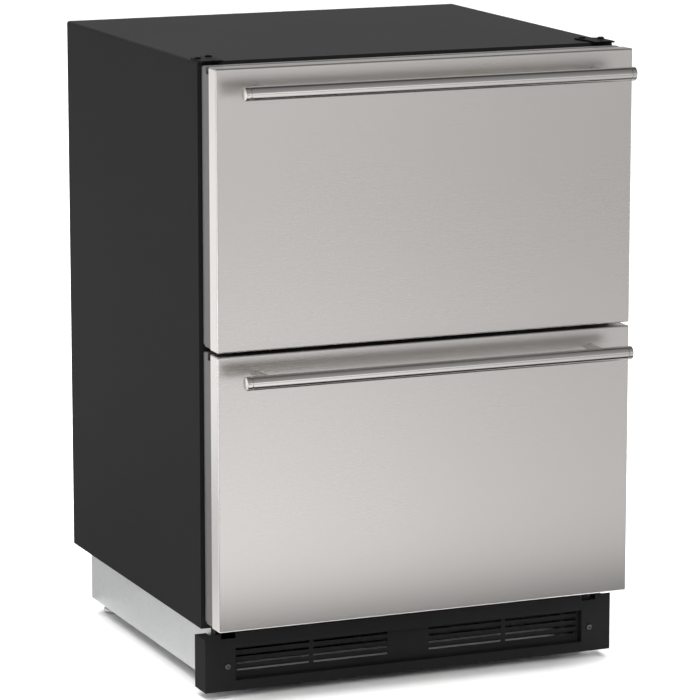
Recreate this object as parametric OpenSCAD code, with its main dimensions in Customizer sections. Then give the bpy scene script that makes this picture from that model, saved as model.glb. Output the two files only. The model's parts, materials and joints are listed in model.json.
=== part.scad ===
// Undercounter drawer refrigerator: a black cabinet on a galvanised base,
// two stainless drawers on three-member slides, a toe grille in front of the
// condenser, and the cooling circuit behind and below the food space.
// Millimetres, +Z up, floor at z = 0, drawers open towards -Y.
// Inside the modules Y is counted from the drawers' front face; place() moves
// that to the frame whose origin is the bottom centre of the whole object.

/* [Cabinet] */
// Outside width of the cabinet
cabinet_w = 608; // [604:1:616]
// Height of the cabinet's top above the floor, legs screwed in
cabinet_top = 867; // [864:1:874]
// Depth from the drawers' front face to the back panel
cabinet_d = 598; // [596:1:606]
// Height of the cabinet's lower edge above the floor
cabinet_z = 97; // [95:1:99]
// Thickness of the painted outer sheet
skin_t = 1; // [0.8:0.1:1.2]
// Thickness of the insulation in the side walls
wall_foam = 41; // [40:1:43]
// Thickness of the plastic inner liner
liner_t = 2; // [1.6:0.2:2.4]

/* [Drawer fronts] */
// Width of the stainless drawer fronts
front_w = 606; // [602:1:606]
// Lower edge of the lower drawer front
front_z0 = 106.5; // [105:0.5:108]
// Height of the lower drawer front
lower_h = 376; // [374:1:377]
// Gap between the two drawer fronts
front_gap = 4.5; // [3.5:0.5:6]
// How far the upper drawer front ends below the cabinet's top
top_drop = 2; // [1:0.5:4]
// Depth of the stainless pan
pan_d = 27; // [25:1:28]
// Radius of the pan's folded front edges
pan_r = 2.5; // [1.5:0.5:4]

/* [Handles] */
// Diameter of the handle bar
bar_d = 19; // [16:0.5:22]
// Length of the handle bar
bar_l = 564; // [540:2:580]
// Distance from the drawer front to the bar's axis
bar_out = 48; // [40:1:52]
// Distance between the two handle posts
post_pitch = 488; // [460:2:500]
// Diameter of a handle post
post_d = 14; // [12:0.5:15]
// Distance from the top of a drawer front down to the bar's axis
bar_drop = 28; // [24:1:34]

/* [Drawers] */
// Travel of each drawer
travel = 400; // [300:10:400]
// Length of the slide members
slide_l = 400; // [380:5:405]
// Thickness of the bins' sheet
bin_t = 1; // [0.8:0.1:1.5]

/* [Base] */
// Width of the galvanised base
base_w = 572; // [566:2:576]
// Height of the base's lower edge above the floor
base_z = 19; // [17:1:20]
// Height of the toe grille's lower edge above the floor
grille_z0 = 10; // [8:1:12]
// Height of the toe grille's upper edge above the floor
grille_z1 = 83.5; // [80:0.5:86]
// How far a levelling leg screws out
leg_travel = 25; // [10:1:25]

/* [Hidden] */
$fn = 64;

// Levels and planes, Y counted from the drawers' front face
hw = cabinet_w / 2;                 // half width of the cabinet
y_cab = 66.5;                       // front face of the cabinet
y_back = cabinet_d;                 // back face of the cabinet
bar_r = bar_d / 2;
oy = -(cabinet_d - bar_out - bar_r) / 2; // moves the depth's middle to Y = 0
up_z0 = front_z0 + lower_h + front_gap;  // lower edge of the upper front
up_z1 = cabinet_top - top_drop;          // upper edge of the upper front
lo_z0 = front_z0;
lo_z1 = front_z0 + lower_h;
in_x = hw - skin_t - wall_foam - liner_t;  // half width of the food space
lin_x = in_x + liner_t;             // half width outside the liner
floor_z = cabinet_z + 42;           // floor of the food space
ceil_z = cabinet_top - 43;          // ceiling of the food space
y_lin = y_back - 43;                // back wall of the food space
y_step = 350;                       // front of the step over the machinery
z_step = 278;                       // top of that step
mach_z = 238;                       // ceiling of the machine compartment
mach_y = 392;                       // front of the machine compartment
gap_z = (lo_z1 + up_z0) / 2;        // middle of the gap between the fronts
mul_h = 44;                         // height of the centre mullion
slide_y = 75;                       // front end of the slide members
up_slide = 620;                     // height of the upper slides' axis
lo_slide = 400;                     // height of the lower slides' axis
bin_x = in_x - 12.7;                // half width of the bins at the slides
up_bin = [60, 480, 516, 770];       // y0, y1, z0, z1 of the upper bin
lo_bin = [60, 480, 150, 440];       // y0, y1, z0, z1 of the lower bin
lo_bin_step = [335, 292];           // y and z of the lower bin's step
bin_r = 4;                          // outer radius of the bins' upright corners
base_hw = base_w / 2;
base_y1 = 572;                      // back end of the base
leg_x = 258;
leg_y = [112, 554];
fan_x = -150;                       // condenser fan's axis
fan_z = 112;
fan_y = 430;
comp = [118, 486];                  // compressor's axis
evf_z = 740;                        // evaporator fan's axis height
duct = [188, 222];                  // channel for drain and lines in the back foam
drain = [196, 563.5];               // drain tube's axis
suct_x = 211;                       // suction line's place in the channel
cap_x = 218;                        // capillary's place in the channel
line_y = 563;
line_z = 600;                       // height at which both lines enter the food space

black = [0.11, 0.11, 0.12];
dark = [0.2, 0.2, 0.21];
steel = [0.76, 0.76, 0.75];
zinc = [0.78, 0.79, 0.8];
grey = [0.47, 0.46, 0.46];
white = [0.9, 0.91, 0.92];
copper = [0.72, 0.42, 0.28];
foam_c = [0.93, 0.87, 0.66];

module place() { translate([0, oy, 0]) children(); }
module box(x0, x1, y0, y1, z0, z1) { translate([x0, y0, z0]) cube([x1 - x0, y1 - y0, z1 - z0]); }
module both() { children(); mirror([1, 0, 0]) children(); }
// A cylinder along Y from y0 to y1, and one along X from x0 to x1
module ycyl(x, z, r, y0, y1) { translate([x, y1, z]) rotate([90, 0, 0]) cylinder(r = r, h = y1 - y0); }
module xcyl(y, z, r, x0, x1) { translate([x0, y, z]) rotate([0, 90, 0]) cylinder(r = r, h = x1 - x0); }
module zcyl(x, y, r, z0, z1) { translate([x, y, z0]) cylinder(r = r, h = z1 - z0); }
// A rectangle with round corners
module rrect(x0, x1, y0, y1, r) {
  translate([x0 + r, y0]) square([x1 - x0 - 2 * r, y1 - y0]);
  translate([x0, y0 + r]) square([x1 - x0, y1 - y0 - 2 * r]);
  for (x = [x0 + r, x1 - r], y = [y0 + r, y1 - r]) translate([x, y]) circle(r);
}
// A 2D profile drawn in Y and Z, pulled out along X from -h to h
module along_x(h) { translate([-h, 0, 0]) rotate([90, 0, 90]) linear_extrude(2 * h) children(); }
// A 2D profile drawn in X and Z, pulled out along Y from y0 to y1
module along_y(y0, y1) { translate([0, y1, 0]) rotate([90, 0, 0]) linear_extrude(y1 - y0) children(); }
// A pipe through points: straight runs with a slightly wider ball at each bend
module run(p, q, r) {
  d = q - p;
  l = norm(d);
  translate(p) rotate([0, acos(d[2] / l), atan2(d[1], d[0])]) cylinder(r = r, h = l);
}
module pipe(pts, r) {
  for (i = [0 : len(pts) - 2]) run(pts[i], pts[i + 1], r);
  for (i = [1 : 1 : len(pts) - 2]) translate(pts[i]) sphere(r * 1.12);
}

// ---------------------------------------------------------------- cabinet

// Folded black sheet: top and two sides, with a hem around the front
module outer_wrapper() color(black) place() difference() {
  union() {
    along_y(y_cab, y_back) difference() {
      union() {
        rrect(-hw, hw, cabinet_z + 20, cabinet_top, 4);
        translate([-hw, cabinet_z]) square([cabinet_w, 60]);
      }
      rrect(-hw + skin_t, hw - skin_t, cabinet_z - 20, cabinet_top - skin_t, 3);
      translate([-hw + skin_t, cabinet_z - 30]) square([cabinet_w - 2 * skin_t, 80]);
    }
    along_y(y_cab, y_cab + skin_t) difference() {
      union() {
        rrect(-hw + 0.5, hw - 0.5, cabinet_z + 20, cabinet_top - 0.5, 3.5);
        translate([-hw + 0.5, cabinet_z]) square([cabinet_w - 1, 60]);
      }
      translate([-hw + 31, cabinet_z - 1]) square([cabinet_w - 62, cabinet_top - 31 - cabinet_z + 1]);
    }
  }
  both() for (p = bracket_holes) zcyl(p[0], p[1], 2.1, cabinet_top - 3, cabinet_top + 1);
}

module back_panel() color(zinc) place() difference() {
  box(-hw + skin_t, hw - skin_t, y_back - 1, y_back, mach_z - 1, cabinet_top - skin_t);
  both() box(hw - skin_t - 4, hw, y_back - 2, y_back + 1, cabinet_top - skin_t - 4, cabinet_top);
}

// Folded floor sheet, which steps up over the machine compartment
module cabinet_bottom() color(zinc) place() {
  difference() {
    along_x(hw - skin_t) polygon([
      [y_cab + 1, cabinet_z + 1], [mach_y - 1, cabinet_z + 1], [mach_y - 1, mach_z],
      [y_back - 1, mach_z], [y_back - 1, mach_z - 1], [mach_y, mach_z - 1],
      [mach_y, cabinet_z], [y_cab + 1, cabinet_z]
    ]);
    box(duct[0], duct[1], 556, 571.4, mach_z - 5, mach_z + 5);
  }
  box(-hw + 31, hw - 31, y_cab, y_cab + 1.2, cabinet_z, cabinet_z + 29);
}

// Insulation as blocks between the sheets and the liner
module insulation_foam() color(foam_c) place() {
  g = 0.4;
  both() box(lin_x, hw - skin_t, y_cab + 3, mach_y - 1, cabinet_z + 1, cabinet_top - skin_t - 4);
  both() box(lin_x, hw - skin_t, mach_y - 1 + g, y_lin + liner_t - g, mach_z, cabinet_top - skin_t - 4);
  box(-lin_x + g, lin_x - g, y_cab + 3, y_lin + liner_t - g, ceil_z + liner_t, cabinet_top - skin_t);
  box(-lin_x + g, lin_x - g, y_cab + 3, mach_y - 1, cabinet_z + 1, floor_z - liner_t);
  box(-lin_x + g, lin_x - g, y_step + liner_t, mach_y - 1, floor_z - liner_t + g, mach_z - g);
  box(-lin_x + g, lin_x - g, y_step + liner_t, y_lin + liner_t - g, mach_z, z_step - liner_t);
  box(-hw + skin_t, duct[0], y_lin + liner_t, y_back - 1, mach_z, cabinet_top - skin_t - 4);
  box(duct[1], hw - skin_t, y_lin + liner_t, y_back - 1, mach_z, cabinet_top - skin_t - 4);
}

// One-piece liner of the food space with the step over the machinery
module inner_liner() color(dark) place() difference() {
  along_x(lin_x) polygon([
    [y_cab + 3, floor_z - liner_t], [y_step + liner_t, floor_z - liner_t],
    [y_step + liner_t, z_step - liner_t], [y_lin + liner_t, z_step - liner_t],
    [y_lin + liner_t, ceil_z + liner_t], [y_cab + 3, ceil_z + liner_t]
  ]);
  along_x(in_x) polygon([
    [y_cab, floor_z], [y_step, floor_z], [y_step, z_step], [y_lin, z_step],
    [y_lin, ceil_z], [y_cab, ceil_z]
  ]);
  ycyl(drain[0], 288, 6.3, y_lin - 1, y_lin + liner_t + 1);
  ycyl((suct_x + cap_x) / 2, line_z, 8, y_lin - 1, y_lin + liner_t + 1);
}

// Plastic breaker frame between the hem and the liner
module front_frame() color(black) place() along_y(y_cab, y_cab + 3) difference() {
  translate([-hw + 31, cabinet_z + 29]) square([cabinet_w - 62, cabinet_top - 31 - cabinet_z - 29]);
  translate([-in_x, floor_z]) square([2 * in_x, ceil_z - floor_z]);
}

// Bar between the two openings, which both gaskets seal on
module centre_mullion() color(black) place() along_x(in_x - 0.2) polygon([
  [y_cab, gap_z - mul_h / 2], [y_cab, gap_z + mul_h / 2], [y_cab + 40, gap_z + mul_h / 2],
  [y_cab + 40, gap_z + mul_h / 2 - 2], [y_cab + 2, gap_z + mul_h / 2 - 2],
  [y_cab + 2, gap_z - mul_h / 2 + 2], [y_cab + 40, gap_z - mul_h / 2 + 2], [y_cab + 40, gap_z - mul_h / 2]
]);

// Brackets at the top front corners. Their front ends reach over the upper
// drawer front, and each has a hole for a screw into the worktop.
bracket_holes = [[275, 101], [296, 86]];
fix_hole = [284, 59.5];
module top_brackets() color(black) place() both() difference() {
  translate([0, 0, cabinet_top]) linear_extrude(2.5)
    polygon([[302, 54], [302, 96], [287, 109], [267, 109], [267, 92], [272, 78], [272, 54]]);
  for (p = bracket_holes) zcyl(p[0], p[1], 2.1, cabinet_top - 1, cabinet_top + 4);
  zcyl(fix_hole[0], fix_hole[1], 2.75, cabinet_top - 1, cabinet_top + 4);
}

// Pan-head cross-recess screw with its head's underside at the origin, head up
module screw(r, head_r, head_h, l) {
  difference() {
    union() {
      cylinder(r = head_r, h = head_h - 0.8);
      translate([0, 0, head_h - 0.8]) cylinder(r1 = head_r, r2 = head_r - 1, h = 0.8);
    }
    for (a = [0, 90]) rotate(a) translate([-0.55, -head_r * 0.62, head_h - 1.4]) cube([1.1, head_r * 1.24, 2]);
  }
  translate([0, 0, -l]) cylinder(r = r, h = l);
}
// Screws of the toe grille and of the top brackets
grille_screw = [271.5, 45];
module cabinet_screws() color([0.3, 0.3, 0.31]) place() {
  both() translate([grille_screw[0], grille_y, grille_screw[1]]) rotate([90, 0, 0]) screw(2, 4.2, 2.4, 14);
  both() for (p = bracket_holes) translate([p[0], p[1], cabinet_top + 2.5]) screw(2, 4.6, 2.6, 3.5);
}

// ------------------------------------------------------------------- base

// Galvanised base: two side rails with flanges, cross rails and front tabs
module base_frame() color(zinc) place() difference() {
  union() {
    both() along_y(60, base_y1) polygon([
      [base_hw, base_z], [base_hw, cabinet_z], [base_hw - 22, cabinet_z], [base_hw - 22, cabinet_z - 1.5],
      [base_hw - 1.5, cabinet_z - 1.5], [base_hw - 1.5, base_z + 1.5], [base_hw - 46, base_z + 1.5], [base_hw - 46, base_z]
    ]);
    both() box(base_hw - 21, base_hw, grille_y + grille_t, grille_y + grille_t + 1.5, base_z + 1, cabinet_z - 16);
    both() box(base_hw - 1.5, base_hw, grille_y + grille_t, 61, base_z + 1, cabinet_z - 16);
    box(-base_hw + 45, base_hw - 45, 98, 99.5, base_z, base_z + 22);
    box(-base_hw + 45, base_hw - 45, 99, 112, base_z, base_z + 1.5);
    box(-base_hw + 45, base_hw - 45, base_y1 - 1.5, base_y1, base_z, base_z + 22);
    box(-base_hw + 45, base_hw - 45, base_y1 - 14, base_y1 - 1, base_z, base_z + 1.5);
    both() for (y = leg_y) translate([leg_x, y, base_z + 1.4]) cylinder(r = 9, h = 8, $fn = 6);
  }
  both() for (y = leg_y) zcyl(leg_x, y, 5.1, base_z - 1, base_z + 12);
  both() ycyl(grille_screw[0], grille_screw[1], 2.1, 53, 57);
  both() box(base_hw - 23, base_hw + 1, 59, 77, cabinet_z - 16, cabinet_z + 1);
}

// Floor of the machine compartment
module base_pan() color(zinc) place() difference() {
  box(-base_hw + 1.5, base_hw - 1.5, 100, base_y1 - 2, base_z + 1.5, base_z + 2.7);
  both() for (y = leg_y) box(leg_x - 12, leg_x + 12, y - 12, y + 12, base_z, base_z + 5);
  for (dx = [-70, 70], dy = [-52, 52]) zcyl(comp[0] + dx, comp[1] + dy, 3.2, base_z, base_z + 5);
}

// Black toe grille: a front wall with a long recess, whose floor holds two
// groups of louvres, short returns at the sides, a flange on top and a notch
// beside each end of the flange
grille_y = 51.5;
grille_t = 2;
grille_top = grille_z1 + 7.5;
rec_d = 12;
rec = [260, 24, 70];               // half width, lower and upper edge of the recess
louvres = [[31, 141.2], [147.8, 257]]; // spans of the louvres, each side of the middle
module toe_grille() color(black) place() difference() {
  union() {
    box(-hw, hw, grille_y, grille_y + grille_t, grille_z0, grille_z1);
    box(-rec[0], rec[0], grille_y, grille_y + grille_t, grille_z1 - 1, grille_top);
    both() box(281, hw, grille_y, grille_y + grille_t, grille_z1 - 1, grille_top);
    both() box(hw - grille_t, hw, grille_y, grille_y + 40, grille_z0, grille_z1);
    both() translate([0, 0, grille_z1 - grille_t]) linear_extrude(grille_t)
      polygon([[base_hw + 0.6, grille_y], [hw, grille_y], [hw, grille_y + 40], [base_hw + 1.6, grille_y + 40]]);
    box(-rec[0], rec[0], grille_y, grille_y + 20, grille_top - grille_t, grille_top);
    box(-rec[0] - grille_t, rec[0] + grille_t, grille_y, grille_y + rec_d + grille_t, rec[1] - grille_t, rec[2] + grille_t);
    both() for (s = louvres) for (i = [0 : 3]) louvre_hood(s, 65.2 - 9.5 * i);
  }
  box(-rec[0], rec[0], grille_y - 1, grille_y + rec_d, rec[1], rec[2]);
  both() for (s = louvres) for (i = [0 : 3]) louvre_slot(s, 65.2 - 9.5 * i);
  both() ycyl(grille_screw[0], grille_screw[1], 2.2, grille_y - 1, grille_y + 3);
}
// A louvre's blade leans back and down behind its slot
module louvre_hood(s, z) {
  translate([s[0] - 0.8, 0, 0]) rotate([90, 0, 90]) linear_extrude(s[1] - s[0] + 1.6)
    polygon([[grille_y + rec_d, z + 2.6], [grille_y + rec_d + 8, z - 1.2], [grille_y + rec_d + 8, z - 2.7], [grille_y + rec_d, z + 1.1]]);
}
module louvre_slot(s, z) {
  translate([s[0], 0, 0]) rotate([90, 0, 90]) linear_extrude(s[1] - s[0])
    polygon([[grille_y + rec_d - 1, z - 2.6], [grille_y + rec_d - 1, z + 2.6], [grille_y + rec_d, z + 2.1],
             [grille_y + rec_d + 2.1, z + 1.1], [grille_y + rec_d + 2.1, z - 3.1], [grille_y + rec_d, z - 2.6]]);
}

// Levelling leg: foot, hexagon for the spanner and threaded stud
module leg(x, y) color([0.55, 0.56, 0.57]) place() translate([x, y, 0]) {
  rotate_extrude() polygon([[0, 0], [13.5, 0], [15, 1.5], [15, 5], [12, 7], [0, 7]]);
  translate([0, 0, 6.5]) cylinder(r = 9, h = 7, $fn = 6);
  cylinder(r = 5, h = 62);
}

// ------------------------------------------------------ machine compartment

module machine_cover() color(zinc) place() difference() {
  union() {
    box(-base_hw + 2, base_hw - 2, base_y1, base_y1 + 1.2, base_z + 2, cabinet_z + 2);
    box(-hw + skin_t, hw - skin_t, base_y1, base_y1 + 1.2, cabinet_z + 1, mach_z - 1);
  }
  for (c = [-1, 1], i = [0 : 8]) translate([c * 120, 0, 62 + i * 18]) box(-75, 75, base_y1 - 1, base_y1 + 3, -3, 3);
  ycyl(gland[0], gland[1], 9.2, base_y1 - 1, base_y1 + 3);
}

// Bushing in the machine cover for the mains cord
gland = [-246, 120];
module power_inlet() color(black) place() difference() {
  translate([gland[0], base_y1 - 10, gland[1]]) rotate([-90, 0, 0])
    rotate_extrude() polygon([[4.5, 0], [9, 0], [9, 11.2], [13, 11.2], [13, 15.2], [8, 24], [4.5, 24]]);
}

// Hermetic compressor: drawn shell with a weld flange, hollow inside
module compressor_shell() color(black) place() translate([comp[0], comp[1], 0]) {
  difference() {
    rotate_extrude() polygon([
      [0, 40], [52, 40], [66, 46], [73, 58], [73, 118], [77, 118], [77, 124], [73, 124],
      [73, 168], [67, 184], [52, 195], [30, 200], [0, 201]
    ]);
    rotate_extrude() polygon([
      [0, 43], [51, 43], [64, 48], [70, 59], [70, 167], [64, 182], [50, 192], [29, 197], [0, 198]
    ]);
  }
  // base plate with four ears, and the terminal cover on the side
  difference() {
    box(-82, 82, -62, 62, 36.5, 40);
    for (dx = [-70, 70], dy = [-52, 52]) zcyl(dx, dy, 6.2, 30, 45);
  }
  box(-24, 24, -84, -72.2, 90, 140);
}

// Rubber grommets and their bolts under the compressor's plate
module compressor_mounts() color([0.16, 0.16, 0.16]) place()
  for (dx = [-70, 70], dy = [-52, 52]) translate([comp[0] + dx, comp[1] + dy, 0])
    rotate_extrude() polygon([
      [0, base_z + 1.5], [3, base_z + 1.5], [3, base_z + 2.7], [12, base_z + 2.7], [13, 28], [11, 36.5], [6, 36.5], [6, 40],
      [9.5, 40], [9.5, 43], [4, 45], [0, 45]
    ]);

// A finned tube block: straight tubes along X, return bends and upright fins
// first says at which end the first bend sits: 0 right, 1 left
module finned_block(x0, x1, ys, zs, r, n, fy, fz, first) {
  for (y = ys, z = zs) xcyl(y, z, r, x0, x1);
  translate([first == 0 ? x0 : x1, (ys[0] + ys[1]) / 2, zs[0]]) rotate(first == 0 ? 90 : -90)
    rotate_extrude(angle = 180) translate([(ys[1] - ys[0]) / 2, 0]) circle(r);
  for (y = ys) for (k = [0 : len(zs) - 2]) {
    right = (k % 2 == first);
    translate([right ? x1 : x0, y, (zs[k] + zs[k + 1]) / 2]) rotate([90, 0, 0])
      rotate(right ? -90 : 90) rotate_extrude(angle = 180) translate([(zs[k + 1] - zs[k]) / 2, 0]) circle(r);
  }
  for (i = [0 : n - 1]) translate([x0 + 12 + i * (x1 - x0 - 24) / (n - 1), 0, 0])
    box(-0.6, 0.6, fy[0], fy[1], fz[0], fz[1]);
}
module condenser_coil() color([0.25, 0.25, 0.26]) place()
  finned_block(-250, -50, [130, 170], [34, 58, 82], 4, 22, [110, 190], [24, 92], 0);
module evaporator_coil() color([0.8, 0.81, 0.82]) place()
  finned_block(-180, 180, [522, 540], [556, 582, 608, 634], 4, 26, [512, 550], [544, 646], 1);

// Fan motors: can, bearing boss and mounting arms
module fan_motor(r, l) {
  difference() {
    union() {
      cylinder(r = r, h = l);
      translate([0, 0, -4]) cylinder(r = 6, h = 4.5);
    }
    translate([0, 0, -5]) cylinder(r = 2.1, h = l * 0.6);
  }
}
module condenser_fan_motor() color(dark) place() {
  translate([fan_x, fan_y + 34, fan_z]) rotate([-90, 0, 0]) {
    fan_motor(24, 34);
    for (a = [45 : 90 : 315]) rotate(a) box(23, 74, -5, 5, 4, 6);
    for (a = [45 : 90 : 315]) rotate(a) box(72, 74, -5, 5, -36, 6);
  }
}
module evaporator_fan_motor() color(dark) place() {
  translate([0, 526, evf_z]) rotate([-90, 0, 0]) {
    fan_motor(17, 20);
    box(-45, 45, -6, 6, 20, 22);
    for (s = [-1, 1]) box(s * 42 - 3, s * 42 + 3, -6, 6, 21, y_lin - 526);
  }
}
// Fan plate with its ring, which faces the air from the condenser
module condenser_fan_shroud() color(black) place() difference() {
  union() {
    box(fan_x - 100, fan_x + 100, fan_y - 4, fan_y - 2, base_z + 2.7, 226);
    ycyl(fan_x, fan_z, 68, fan_y - 4, fan_y + 20);
  }
  ycyl(fan_x, fan_z, 65, fan_y - 6, fan_y + 22);
}
// Impeller with its shaft
module impeller(r, hub, h, n, tilt, shaft) {
  difference() {
    cylinder(r = hub, h = h);
    translate([0, 0, -1]) cylinder(r = hub - 2, h = h - 2);
  }
  for (i = [0 : n - 1]) rotate(i * 360 / n) intersection() {
    translate([hub - 1, 0, h / 2]) rotate([tilt, 0, 0]) translate([0, -r * 0.36, -0.8]) cube([r - hub + 1, r * 0.72, 1.6]);
    difference() {
      cylinder(r = r, h = h);
      translate([0, 0, -1]) cylinder(r = hub - 1, h = h + 2);
    }
  }
  translate([0, 0, -shaft]) cylinder(r = 2, h = shaft + h - 1);
}
module condenser_fan_blade() color([0.5, 0.5, 0.52]) place()
  translate([fan_x, fan_y + 20, fan_z]) rotate([90, 0, 0]) impeller(61, 17, 18, 5, 32, 22);
module evaporator_fan_blade() color([0.5, 0.5, 0.52]) place()
  translate([0, 518, evf_z]) rotate([90, 0, 0]) impeller(40, 11, 12, 5, 30, 14);

// Tray over the compressor, which boils off the defrost water
module drip_tray() color(dark) place() difference() {
  box(-10, 206, 412, 571.4, 201.2, 225);
  box(-8, 204, 414, 569.8, 203, 226);
}
// Drain from the food space down to the tray
module drain_tube() color(white) place() difference() {
  union() {
    pipe([[drain[0], y_lin - 2, 288], [drain[0], drain[1], 288]], 6);
    translate([drain[0], drain[1], 288]) sphere(6.3);
    zcyl(drain[0], drain[1], 6, 209, 288);
  }
  pipe([[drain[0], y_lin - 4, 288], [drain[0], drain[1], 288]], 4.5);
  zcyl(drain[0], drain[1], 4.5, 205, 288);
}

module filter_drier() color(copper) place() translate([-20, 415, 60]) rotate([0, 0, 0])
  rotate_extrude() polygon([[0, 0], [3, 0], [3, 8], [9.5, 18], [9.5, 82], [3, 92], [3, 100], [0, 100]]);

// Discharge, liquid, capillary and suction lines
module refrigerant_lines() color(copper) place() {
  pipe([[49.8, 459.8, 150], [20, 448, 150], [20, 448, 60], [20, 200, 60], [-20, 130, 82], [-50, 130, 82]], 3);
  pipe([[-50, 170, 82], [-30, 170, 82], [-30, 170, 44], [-30, 415, 44], [-20, 415, 44], [-20, 415, 60]], 2.5);
  pipe([[-20, 415, 160], [-20, 415, 190], [cap_x, 415, 190], [cap_x, line_y, 190],
        [cap_x, line_y, line_z], [cap_x, 522, line_z], [cap_x, 522, 634], [180, 522, 634]], 1.6);
  pipe([[174.3, 532.6, 95], [suct_x, line_y, 95], [suct_x, line_y, line_z],
        [suct_x, 540, line_z], [suct_x, 540, 634], [180, 540, 634]], 3.2);
}

// ------------------------------------------------------------- food space

// Cover of the evaporator: fan grille above, return slots below
module evaporator_cover() color(dark) place() difference() {
  union() {
    box(-230, 230, 497, 499.5, 520, 818);
    both() box(227.5, 230, 497, y_lin, 520, 818);
    box(-230, 230, 497, y_lin, 815.5, 818);
  }
  for (x = [-180 : 30 : 180]) box(x - 11, x + 11, 495, 501, 530, 536);
  for (x = [-180 : 30 : 180]) box(x - 11, x + 11, 495, 501, 544, 550);
  difference() {
    ycyl(0, evf_z, 43, 495, 501);
    for (r = [12 : 10 : 32]) difference() {
      ycyl(0, evf_z, r + 1.4, 494, 502);
      ycyl(0, evf_z, r - 1.4, 493, 503);
    }
    for (a = [0 : 45 : 135]) translate([0, 498, evf_z]) rotate([0, a, 0]) cube([90, 8, 3], center = true);
  }
}

// Control housing under the ceiling with its sloping face
module control_panel() color(black) place() translate([-110, 0, 0]) rotate([90, 0, 90]) linear_extrude(220)
  polygon([[72, ceil_z], [72, ceil_z - 8], [92, ceil_z - 22], [118, ceil_z - 22], [130, ceil_z]]);

module light_lens() color([0.95, 0.96, 0.98]) place() translate([-70, 0, 0]) rotate([90, 0, 90]) linear_extrude(140)
  polygon([[200, ceil_z], [204, ceil_z - 7], [236, ceil_z - 7], [240, ceil_z]]);

module temperature_sensor() color(white) place() difference() {
  box(in_x - 9, in_x, 512, 528, 680, 712);
  for (i = [0 : 3]) box(in_x - 10, in_x - 6, 510, 530, 685 + i * 6, 688 + i * 6);
}

// ----------------------------------------------------------------- slides

// Profiles of the three members, S counted from the liner wall inwards
module slide_outer_profile() {
  translate([0, -22.5]) square([1.5, 45]);
  for (s = [-1, 1]) translate([0, s * 21.75 - 0.75]) square([11, 1.5]);
}
module slide_middle_profile() {
  translate([5.2, -20.4]) square([1.5, 40.8]);
  for (s = [-1, 1]) translate([1.9, s * 19.65 - 0.75]) square([4.8, 1.5]);
  for (s = [-1, 1]) translate([5.2, s * 14.75 - 0.75]) square([6.3, 1.5]);
}
module slide_inner_profile() {
  translate([11.2, -13.4]) square([1.5, 26.8]);
  for (s = [-1, 1]) translate([7.2, s * 12.65 - 0.75]) square([5.5, 1.5]);
}
// A member on both walls at height z
module slide_pair(z) both() translate([in_x, slide_y + slide_l, z]) mirror([1, 0, 0]) rotate([90, 0, 0]) linear_extrude(slide_l) children();

module slide_outer_members() color(zinc) place() for (z = [up_slide, lo_slide]) slide_pair(z) slide_outer_profile();
module slide_middle(z) color(zinc) place() slide_pair(z) slide_middle_profile();
module slide_inner(z) color(zinc) place() slide_pair(z) slide_inner_profile();

// ---------------------------------------------------------- drawer fronts

// Stainless pan: face, four folded sides and narrow lips behind
module front_pan(z0, z1) color(steel) place() {
  h = front_w / 2;
  difference() {
    intersection() {
      translate([0, 0, z0]) linear_extrude(z1 - z0) union() {
        translate([-h, pan_r]) square([2 * h, pan_d - pan_r]);
        translate([-h + pan_r, 0]) square([2 * h - 2 * pan_r, pan_r + 1]);
        for (s = [-1, 1]) translate([s * (h - pan_r), pan_r]) circle(pan_r);
      }
      along_x(h + 1) union() {
        translate([pan_r, z0]) square([pan_d - pan_r, z1 - z0]);
        translate([0, z0 + pan_r]) square([pan_r + 1, z1 - z0 - 2 * pan_r]);
        for (z = [z0 + pan_r, z1 - pan_r]) translate([pan_r, z]) circle(pan_r);
      }
    }
    box(-h + 1.2, h - 1.2, 1.2, pan_d - 1.2, z0 + 1.2, z1 - 1.2);
    box(-h + 12, h - 12, 10, pan_d + 1, z0 + 12, z1 - 12);
    both() ycyl(post_pitch / 2, z1 - bar_drop, 2.75, -1, 4);
  }
}

// Black backer plate behind the pan, with a flange in the groove on top
module backer_trim(z0, z1) color(black) place() {
  h = front_w / 2;
  box(-h + 3, h - 3, pan_d, 30, z0 + 3, z1 - 9);
  box(-h + 3, h - 3, pan_d, 41, z1 - 10.5, z1 - 9);
}

// Grey shell of the insulated door, open towards the liner
module inner_door(z0, z1) color(grey) place() {
  h = front_w / 2;
  difference() {
    box(-h + 1.5, h - 1.5, 30, 51, z0 + 1.5, z1 - 1);
    box(-h, h, 29, 41, z1 - 10.5, z1 + 1);
    box(-h + 2.7, h - 2.7, 31.2, 52, z0 + 2.7, z1 - 11.7);
    box(-h + 2.7, h - 2.7, 42.2, 52, z1 - 12, z1 - 2.2);
  }
}

// Foam in the pan and foam in the inner door
module door_foam(z0, z1) color(foam_c) place() {
  h = front_w / 2;
  box(-h + 1.4, h - 1.4, 4.6, pan_d - 1.4, z0 + 1.4, z1 - 1.4);
  box(-h + 2.9, h - 2.9, 31.4, 51, z0 + 2.9, z1 - 11.9);
}

module door_liner(z0, z1) color(dark) place() box(-front_w / 2 + 2.5, front_w / 2 - 2.5, 51, 60, z0 + 2.5, z1 - 2);

// Ring gasket: a foot on the liner and a narrower magnet bulb
module gasket_ring(z0, z1, y0, y1, o, w) along_y(y0, y1) difference() {
  translate([-296 + o, z0 + o]) square([592 - 2 * o, z1 - z0 - 2 * o]);
  translate([-296 + o + w, z0 + o + w]) square([592 - 2 * o - 2 * w, z1 - z0 - 2 * o - 2 * w]);
}
module gasket(z0, z1) color(black) place() {
  gasket_ring(z0, z1, 60, 62.6, 0, 14);
  gasket_ring(z0, z1, 62.5, 66.2, 2, 10);
}

// ---------------------------------------------------------------- handles

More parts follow.
